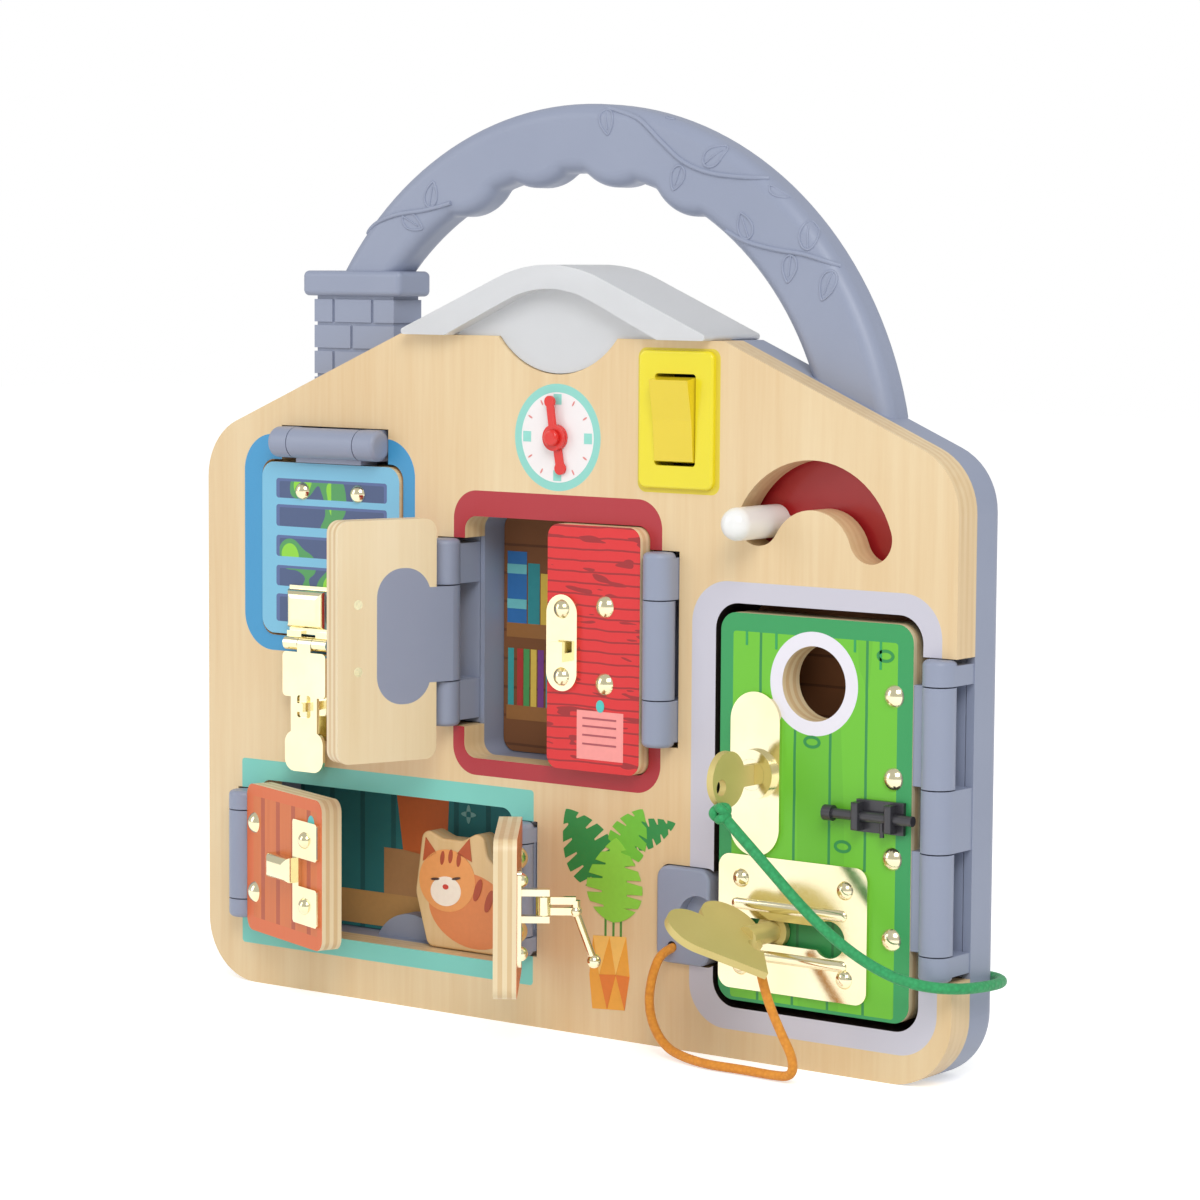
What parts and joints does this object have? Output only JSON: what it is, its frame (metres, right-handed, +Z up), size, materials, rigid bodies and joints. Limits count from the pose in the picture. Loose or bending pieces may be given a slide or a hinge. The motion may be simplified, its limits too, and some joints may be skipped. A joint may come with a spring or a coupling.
{
  "type": "wooden busy board",
  "caption": "House-shaped wooden busy board: doors, shutter, latches, lock, clock, switch and lamp on a plywood panel over a grey housing with an arched carrying handle.",
  "frame": {"origin": "middle of the flat base, on the floor, half way through the board's thickness", "axes": "+X to the right seen from the front, +Y from the front face to the back, +Z up"},
  "size_m": [0.2922, 0.0834, 0.2834],
  "materials": {
    "birch_ply": "satin lacquered birch plywood",
    "grey_abs": "satin moulded ABS",
    "printed_card": "printed card",
    "steel_pin": "turned steel",
    "brass": "polished brass-plated steel",
    "brass_matte": "dull brass-plated zinc",
    "clear_cap": "translucent frosted polypropylene",
    "yellow_plastic": "gloss moulded",
    "red_plastic": "gloss moulded",
    "white_plastic": "gloss moulded",
    "black_plastic": "moulded",
    "circuit_board": "solder-masked board",
    "cell_sleeve": "sleeved dry cell",
    "spring_steel": "plated strip",
    "blue_print": "printed plywood",
    "red_print": "printed plywood",
    "orange_print": "printed plywood",
    "green_print": "printed plywood",
    "pet_print": "printed plywood",
    "orange_cord": "braided polyester",
    "green_cord": "braided polyester"
  },
  "bodies": {
    "root": {"board_panel": "birch_ply", "back_housing": "grey_abs", "recess_trays": "grey_abs", "backdrop_cards": "printed_card", "hinge_mounts": "grey_abs", "hinge_pins": "steel_pin", "slide_keeper": "grey_abs", "hasp_catch": "brass", "clock_pin": "red_plastic", "switch_plate": "yellow_plastic", "switch_body": "black_plastic", "lamp_cap": "clear_cap", "lamp_board": "circuit_board", "battery_cells": "cell_sleeve", "battery_contacts": "spring_steel", "battery_door": "grey_abs", "housing_screws": "steel_pin", "chimney": "grey_abs", "handle": "grey_abs", "dial_cup": "red_plastic", "heart_cord": "orange_cord", "key_cord": "green_cord"},
    "entry": {"entry_door": "green_print", "entry_hinge_leaf": "grey_abs", "entry_rivets": "brass", "lock_plate": "brass", "slide_plate": "brass", "bolt_case": "black_plastic"},
    "lock": {"lock_cylinder": "brass"},
    "key": {"key": "brass_matte"},
    "slider": {"heart_slider": "brass_matte"},
    "bolt": {"bolt_pin": "black_plastic"},
    "shutter": {"shutter": "blue_print", "shutter_hinge_leaf": "grey_abs", "shutter_rivets": "brass", "hasp_base": "brass"},
    "hasp": {"hasp_flap": "brass"},
    "window_left": {"window_left_door": "birch_ply", "window_left_hinge_leaf": "grey_abs", "window_left_rivets": "brass", "window_latch_plate": "brass"},
    "window_latch": {"window_latch_arm": "brass"},
    "window_right": {"window_right_door": "red_print", "window_right_hinge_leaf": "grey_abs", "window_right_rivets": "brass", "window_keeper": "brass"},
    "kennel_left": {"kennel_left_door": "orange_print", "kennel_left_hinge_leaf": "grey_abs", "kennel_left_rivets": "brass", "kennel_strike": "brass"},
    "kennel_right": {"kennel_right_door": "birch_ply", "kennel_right_hinge_leaf": "grey_abs", "kennel_right_rivets": "brass", "kennel_guard_base": "brass"},
    "guard": {"kennel_guard_lever": "brass"},
    "hour": {"hour_hand": "red_plastic"},
    "minute": {"minute_hand": "red_plastic"},
    "dial": {"dial_peg": "white_plastic"},
    "rocker": {"rocker": "yellow_plastic"},
    "pet": {"pet_figure": "pet_print"}
  },
  "joints": [
    {"name": "entry_hinge", "type": "hinge", "parent": "root", "child": "entry", "pos_m": [0.1373, -0.0131, 0.078], "axis": [0, 0, 1], "range_deg": [0, 110], "deforming": ["heart_cord", "key_cord"]},
    {"name": "lock_turn", "type": "hinge", "parent": "entry", "child": "lock", "pos_m": [0.0754, -0.0135, 0.0863], "axis": [0, -1, 0], "range_deg": [0, 90]},
    {"name": "key_slide", "type": "slide", "parent": "lock", "child": "key", "axis": [0, -1, 0], "range_m": [0, 0.014]},
    {"name": "heart_slide", "type": "slide", "parent": "entry", "child": "slider", "axis": [1, 0, 0], "range_m": [-0.0045, 0.0205]},
    {"name": "bolt_slide", "type": "slide", "parent": "entry", "child": "bolt", "axis": [-1, 0, 0], "range_m": [0, 0.006]},
    {"name": "shutter_hinge", "type": "hinge", "parent": "root", "child": "shutter", "pos_m": [-0.0885, -0.0155, 0.1774], "axis": [-1, 0, 0], "range_deg": [0, 100]},
    {"name": "hasp_hinge", "type": "hinge", "parent": "shutter", "child": "hasp", "pos_m": [-0.0965, -0.016, 0.1132], "axis": [-1, 0, 0], "range_deg": [0, 95]},
    {"name": "window_left_hinge", "type": "hinge", "parent": "root", "child": "window_left", "pos_m": [-0.041, -0.0155, 0.12065], "axis": [0, 0, -1], "range_deg": [-111, 54]},
    {"name": "window_latch_turn", "type": "hinge", "parent": "window_left", "child": "window_latch", "pos_m": [-0.05441, -0.04624, 0.12065], "axis": [-0.9336, 0.3584, 0], "range_deg": [-90, 90]},
    {"name": "window_right_hinge", "type": "hinge", "parent": "root", "child": "window_right", "pos_m": [0.041, -0.0155, 0.12065], "axis": [0, 0, 1], "range_deg": [0, 120]},
    {"name": "kennel_left_hinge", "type": "hinge", "parent": "root", "child": "kennel_left", "pos_m": [-0.1245, -0.0155, 0.04295], "axis": [0, 0, -1], "range_deg": [-21, 90]},
    {"name": "kennel_right_hinge", "type": "hinge", "parent": "root", "child": "kennel_right", "pos_m": [-0.0117, -0.0155, 0.04295], "axis": [0, 0, 1], "range_deg": [-126, 4]},
    {"name": "guard_swing", "type": "hinge", "parent": "kennel_right", "child": "guard", "pos_m": [0.02457, -0.04977, 0.04595], "axis": [0, 0, 1], "range_deg": [-90, 15]},
    {"name": "hour_turn", "type": "hinge", "parent": "root", "child": "hour", "pos_m": [0.0004, -0.0135, 0.1824], "axis": [0, 1, 0], "continuous": true},
    {"name": "minute_turn", "type": "hinge", "parent": "root", "child": "minute", "pos_m": [0.0004, -0.0145, 0.1824], "axis": [0, 1, 0], "continuous": true},
    {"name": "dial_swing", "type": "hinge", "parent": "root", "child": "dial", "pos_m": [0.093, -0.0125, 0.1505], "axis": [0, 1, 0], "range_deg": [0, 134]},
    {"name": "rocker_tilt", "type": "hinge", "parent": "root", "child": "rocker", "pos_m": [0.0452, -0.0105, 0.1892], "axis": [-1, 0, 0], "range_deg": [0, 9]},
    {"name": "pet_lift_out", "type": "slide", "parent": "root", "child": "pet", "axis": [0, -1, 0], "range_m": [0, 0.03]}
  ]
}
